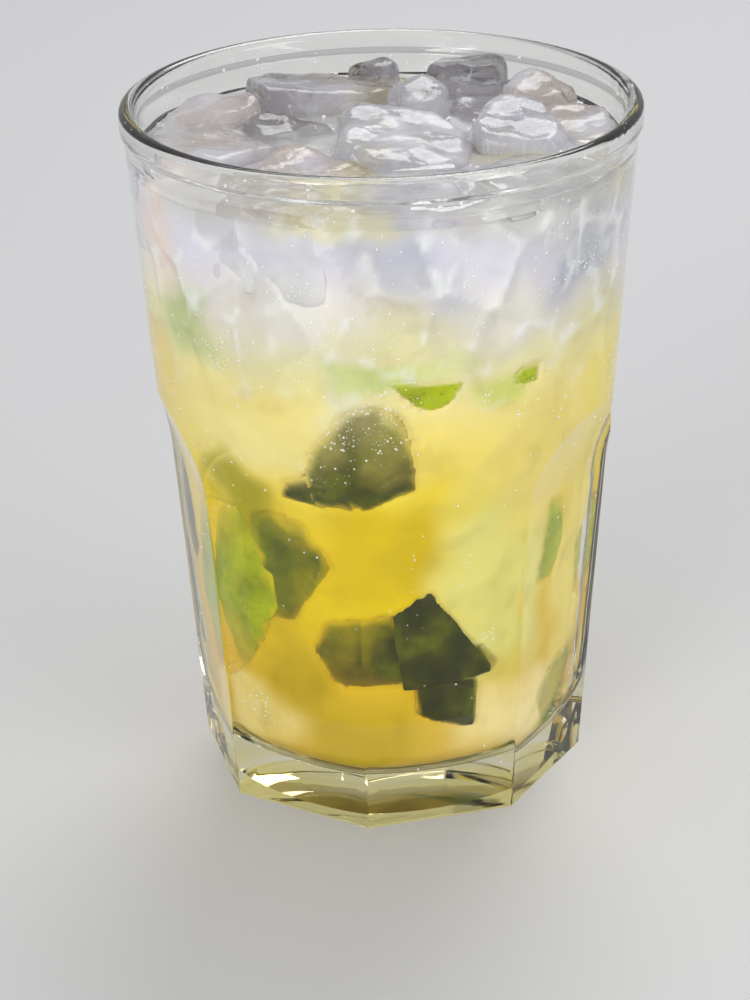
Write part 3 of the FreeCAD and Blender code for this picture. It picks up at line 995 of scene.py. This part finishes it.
def weathered(mesh, seed, dent):
    """Dents a lump inwards as melting does, by up to about the dent in millimetres."""
    drift = Vector((seed * 5.3, seed * 2.9, seed))

    def melted(co):
        hollow = noise.voronoi(co / (6 * MM) + drift)[0][0]
        fine = abs(noise.noise(co / (1.7 * MM) + drift))
        return -(max(0.7 - hollow, 0) * dent + fine * 0.12) * MM

    push_along_normals(mesh, melted)
    return mesh


def store_facing(mesh):
    """Keeps how much each vertex faces the wall, so that a lump's sides are lost in the cloud."""
    seen = []
    for vertex in mesh.vertices:
        out = Vector((vertex.co.x, vertex.co.y, 0)).normalized()
        facing = min(max((vertex.normal.dot(out) - 0.5) / 0.5, 0), 1)
        seen.append(facing * facing * (3 - 2 * facing))
    keep(mesh, "seen", seen)


def make_sunk_ice():
    """Lumps near the wall, in rows that are offset and uneven, fewer lower down."""
    meshes = []
    rng = random.Random(11)
    for row, (height, count) in enumerate(((102, 13), (91, 11))):
        for i in range(count):
            bearing = 360 / count * (i + 0.5 * (row % 2)) + rng.uniform(-9, 9) - 30
            size = [rng.uniform(9, 16) * MM for _ in range(3)]
            turn = Euler([rng.uniform(0, math.tau) for _ in range(3)]).to_matrix().to_4x4()
            lump = evenly_meshed(cracked_lump(size, row * 20 + i), GRAIN * 1.25, 12)
            reach = max((turn @ vertex.co).z for vertex in lump.vertices)
            tall = min((height + rng.uniform(-3.5, 2.5)) * MM, LEVEL - CLEAR_ABOVE - reach)
            gap = rng.uniform(1.0, 2.2) * MM
            lump = weathered(seat_by_wall(lump, turn, bearing, tall, gap), row * 20 + i, 0.7)
            store_facing(lump)
            meshes.append(lump)
    piece = joined("sunk_ice", meshes)
    store_surroundings(piece.data)
    return finish_piece(piece, sunk_ice_material())


def make_brim_ice():
    """The lumps that stand out at the brim, melted from their solids' shape."""
    material = brim_ice_material()
    pieces = []
    for seed, node in enumerate(ICE_NODES):
        bm = bmesh.new()
        bm.from_mesh(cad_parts[node].data)
        bmesh.ops.remove_doubles(bm, verts=bm.verts, dist=0.005 * MM)
        mesh = bpy.data.meshes.new(node)
        bm.to_mesh(mesh)
        bm.free()
        mesh = weathered(evenly_meshed(mesh, GRAIN, 8), seed, 1.1)
        milky, streaked, clear_tint, milk_tint = ICE_LOOKS.get(node, (0.6, 0.0, WATER, MILK))
        count = len(mesh.vertices)
        store_surroundings(mesh)
        store_facing(mesh)
        keep(mesh, "milky", [milky] * count)
        keep(mesh, "streaked", [streaked] * count)
        keep(mesh, "clear_tint", list(clear_tint) * count, "FLOAT_COLOR")
        keep(mesh, "milk_tint", list(milk_tint) * count, "FLOAT_COLOR")
        piece = make_object(node + "_melted", mesh)
        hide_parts(node)
        pieces.append(finish_piece(piece, material))
    return pieces


def tree_of_pieces(pieces):
    """One search tree of several pieces' faces."""
    corners, faces = [], []
    for piece in pieces:
        start = len(corners)
        corners += [vertex.co.copy() for vertex in piece.data.vertices]
        faces += [[start + index for index in face.vertices] for face in piece.data.polygons]
    return BVHTree.FromPolygons(corners, faces)


# ---------------------------------------------------------------- bubbles and dew
def scatter_tree():
    """Geometry nodes that strew small beads over a surface, denser where its attribute says so."""
    tree = bpy.data.node_groups.new("strewn_beads", "GeometryNodeTree")
    sockets = {}
    for name, kind in (("Surface", "Geometry"), ("Beads per square metre", "Float"), ("Smallest", "Float"),
                       ("Largest", "Float"), ("Flatness", "Float"), ("Seed", "Int"), ("Finish", "Material")):
        socket = tree.interface.new_socket(name, in_out="INPUT", socket_type=f"NodeSocket{kind}")
        sockets[name] = socket.identifier
    tree.interface.new_socket("Beads", in_out="OUTPUT", socket_type="NodeSocketGeometry")
    nodes, links = tree.nodes, tree.links
    given = nodes.new("NodeGroupInput")
    result = nodes.new("NodeGroupOutput")

    mask = nodes.new("GeometryNodeInputNamedAttribute")
    mask.data_type = "FLOAT"
    mask.inputs["Name"].default_value = "share"
    density = nodes.new("ShaderNodeMath")
    density.operation = "MULTIPLY"
    links.new(mask.outputs["Attribute"], density.inputs[0])
    links.new(given.outputs["Beads per square metre"], density.inputs[1])

    points = nodes.new("GeometryNodeDistributePointsOnFaces")
    links.new(given.outputs["Surface"], points.inputs["Mesh"])
    links.new(density.outputs[0], points.inputs["Density"])
    links.new(given.outputs["Seed"], points.inputs["Seed"])

    chance = nodes.new("FunctionNodeRandomValue")
    chance.data_type = "FLOAT"
    links.new(given.outputs["Seed"], chance.inputs["Seed"])
    rare = nodes.new("ShaderNodeMath")
    rare.operation = "POWER"
    rare.inputs[1].default_value = 3.0
    links.new(chance.outputs["Value"], rare.inputs[0])
    size = nodes.new("ShaderNodeMapRange")
    links.new(rare.outputs[0], size.inputs["Value"])
    links.new(given.outputs["Smallest"], size.inputs["To Min"])
    links.new(given.outputs["Largest"], size.inputs["To Max"])
    flat = nodes.new("ShaderNodeMath")
    flat.operation = "MULTIPLY"
    links.new(size.outputs["Result"], flat.inputs[0])
    links.new(given.outputs["Flatness"], flat.inputs[1])
    scale = nodes.new("ShaderNodeCombineXYZ")
    links.new(size.outputs["Result"], scale.inputs["X"])
    links.new(size.outputs["Result"], scale.inputs["Y"])
    links.new(flat.outputs[0], scale.inputs["Z"])

    bead = nodes.new("GeometryNodeMeshIcoSphere")
    bead.inputs["Radius"].default_value = 1.0
    bead.inputs["Subdivisions"].default_value = 1
    placed = nodes.new("GeometryNodeInstanceOnPoints")
    links.new(points.outputs["Points"], placed.inputs["Points"])
    links.new(points.outputs["Rotation"], placed.inputs["Rotation"])
    links.new(bead.outputs["Mesh"], placed.inputs["Instance"])
    links.new(scale.outputs[0], placed.inputs["Scale"])

    real = nodes.new("GeometryNodeRealizeInstances")
    links.new(placed.outputs["Instances"], real.inputs["Geometry"])
    finish = nodes.new("GeometryNodeSetMaterial")
    links.new(real.outputs["Geometry"], finish.inputs["Geometry"])
    links.new(given.outputs["Finish"], finish.inputs["Material"])
    links.new(finish.outputs["Geometry"], result.inputs[0])
    return tree, sockets


SCATTER, SCATTER_SOCKETS = scatter_tree()


def strew(name, surface, beads, smallest, largest, flatness, seed, material):
    """Beads over a surface mesh, as one piece: radii in millimetres, beads per square centimetre."""
    piece = make_object(name, surface)
    modifier = piece.modifiers.new("beads", "NODES")
    modifier.node_group = SCATTER
    values = {
        "Beads per square metre": beads * 1e4, "Smallest": smallest * MM, "Largest": largest * MM,
        "Flatness": flatness, "Seed": seed, "Finish": material,
    }
    for label, value in values.items():
        modifier[SCATTER_SOCKETS[label]] = value
    return finish_piece(baked(piece), material)


def patchwork(name, outline, share, place=None):
    """An open lathed surface, to strew beads on, with the share of beads at each point."""
    bm = bmesh.new()
    rings = []
    spokes = 150
    for radius, height in outline:
        points = [at_bearing(360 / spokes * i, radius, height) for i in range(spokes)]
        rings.append([bm.verts.new(place(point) if place else point) for point in points])
    for low, high in zip(rings, rings[1:]):
        for i in range(spokes):
            after = (i + 1) % spokes
            bm.faces.new([low[i], low[after], high[after], high[i]])
    mesh = bpy.data.meshes.new(name)
    bm.to_mesh(mesh)
    bm.free()
    keep(mesh, "share", [max(share(vertex.co), 0) for vertex in mesh.vertices])
    return mesh


def make_dew():
    """Condensation on the outside, thickest beside the ice, and drops on the inside above the drink."""
    tree = tree_of("glass")

    def on_glass(point):
        inward = -Vector((point.x, point.y, 0)).normalized()
        hit = tree.ray_cast(Vector((0, 0, point.z)) - inward * 2 * RIM_RADIUS, inward)[0]
        return hit - inward * 0.02 * MM if hit else point

    def outside(point):
        upper = min(max((point.z / MM - 30) / 60, 0), 1)
        return max(noise.noise(point / (12 * MM)) + 0.35, 0) * (0.15 + upper)

    def inside(point):
        return max(noise.noise(point / (6 * MM)) + 0.3, 0)

    material = dew_material()
    outline = [(RIM_RADIUS, height) for height in steps(6 * MM, RIM_HEIGHT - 5 * MM, 1.4 * MM)]
    fine = patchwork("dew", outline, outside, on_glass)
    strew("dew_outside", fine, beads=24, smallest=0.06, largest=0.24, flatness=0.4, seed=3,
          material=material)
    bare_wall = steps(LEVEL + 1.5 * MM, RIM_HEIGHT - 2.2 * MM, MM)
    outline = [(wall_radius(height) - 0.02 * MM, height) for height in bare_wall]
    drops = patchwork("drops", outline, inside)
    strew("drops_inside", drops, beads=22, smallest=0.12, largest=0.45, flatness=0.45, seed=5,
          material=material)


def make_bubbles():
    """Bubbles against the wall and on the surface round the lumps."""
    material = bubble_material()
    outline = [(wall_radius(height) - 0.35 * MM, height) for height in steps(14 * MM, LEVEL - MM, 1.4 * MM)]

    crowds = [(at_bearing(bearing, wall_radius(height * MM), height * MM), reach * MM, share)
              for bearing, height, reach, share in BUBBLE_CROWDS]

    def on_wall(point):
        upper = min(max((point.z / MM - 50) / 50, 0), 1)
        loose = max(noise.noise(point / (7 * MM)) - 0.1, 0) * (0.02 + 0.2 * upper)
        torn = max(noise.noise(point / (1.8 * MM)) + 0.1, 0) * 3
        crowd = sum(share * max(1 - (point - middle).length / reach, 0) for middle, reach, share in crowds)
        return loose + crowd * torn

    strew("wall_bubbles", patchwork("bubbles", outline, on_wall), 260, 0.05, 0.2, 1.0, 7, material)
    outline = [(radius, LEVEL + 0.1 * MM) for radius in steps(2 * MM, wall_radius(LEVEL) - MM, 1.2 * MM)]

    def on_surface(point):
        return max(noise.noise(point / (5 * MM)) + 0.02, 0) ** 1.5 * 2

    strew("surface_bubbles", patchwork("foam", outline, on_surface), 16, 0.15, 0.6, 0.8, 9, material)


# ---------------------------------------------------------------- stage
def make_stage():
    """A pale floor, a soft world and three soft lamps."""
    bm = bmesh.new()
    bmesh.ops.create_grid(bm, x_segments=1, y_segments=1, size=FLOOR_HALF_WIDTH)
    bmesh.ops.translate(bm, verts=bm.verts, vec=(0, 0, -FLOOR_BELOW))
    mesh = bpy.data.meshes.new("floor")
    bm.to_mesh(mesh)
    bm.free()
    floor = make_object("floor", mesh)
    s = Shader("pale_floor")
    floor.data.materials.append(s.done(s.principled(base_color=srgb(206, 206, 208), roughness=0.6)))

    world = bpy.data.worlds.new("soft_world")
    bpy.context.scene.world = world
    world.use_nodes = True
    tree = world.node_tree
    way = tree.nodes.new("ShaderNodeTexCoord")
    parts = tree.nodes.new("ShaderNodeSeparateXYZ")
    sky = tree.nodes.new("ShaderNodeValToRGB")
    sky.color_ramp.elements[0].color = SKY_LOW
    sky.color_ramp.elements[1].color = SKY_HIGH
    background = tree.nodes["Background"]
    tree.links.new(way.outputs["Generated"], parts.inputs[0])
    tree.links.new(parts.outputs["Z"], sky.inputs["Fac"])
    tree.links.new(sky.outputs["Color"], background.inputs["Color"])
    background.inputs["Strength"].default_value = SKY_STRENGTH

    for name, bearing, distance, height, size, power in LAMPS:
        lamp = bpy.data.lights.new(name, "AREA")
        lamp.shape = "DISK"
        lamp.size = size
        lamp.energy = power
        holder = bpy.data.objects.new(name, lamp)
        bpy.context.scene.collection.objects.link(holder)
        holder.location = at_bearing(bearing, distance, height)
        aim = Vector((0, 0, RIM_HEIGHT / 2)) - holder.location
        holder.rotation_euler = aim.to_track_quat("-Z", "Y").to_euler()


def make_camera():
    """A long lens that looks a little down, slightly from the left, and is rolled a touch."""
    azimuth = math.radians(CAMERA_AZIMUTH)
    elevation = math.radians(CAMERA_ELEVATION)
    roll = math.radians(CAMERA_ROLL)
    target = Vector([part * MM for part in CAMERA_TARGET])
    back = Vector((math.sin(azimuth) * math.cos(elevation), -math.cos(azimuth) * math.cos(elevation),
                   math.sin(elevation)))
    level = Vector((0, 0, 1)).cross(back).normalized()
    above = back.cross(level)
    right = level * math.cos(roll) + above * math.sin(roll)
    up = above * math.cos(roll) - level * math.sin(roll)
    camera = bpy.data.cameras.new("camera")
    camera.lens = CAMERA_LENS
    camera.clip_start = 0.01
    holder = bpy.data.objects.new("camera", camera)
    bpy.context.scene.collection.objects.link(holder)
    turned = Matrix((right, up, back)).transposed().to_4x4()
    holder.matrix_world = Matrix.Translation(target + back * (CAMERA_DISTANCE * MM)) @ turned
    bpy.context.scene.camera = holder


# ---------------------------------------------------------------- the whole
def main():
    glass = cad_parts["glass"]
    glass.data.materials.clear()
    glass.data.materials.append(glass_material())
    brim_ice = make_brim_ice()
    limes = make_limes()
    seen = [limes.data.attributes["seen"].data[face.vertices[0]].value for face in limes.data.polygons]
    make_cloud((tree_of_pieces([limes]), seen))
    make_clear_drink(tree_of_pieces(brim_ice))
    make_sunk_ice()
    make_dew()
    make_bubbles()
    make_stage()
    make_camera()
    scene = bpy.context.scene
    scene.view_settings.view_transform = "Standard"
    scene.cycles.caustics_refractive = False


main()
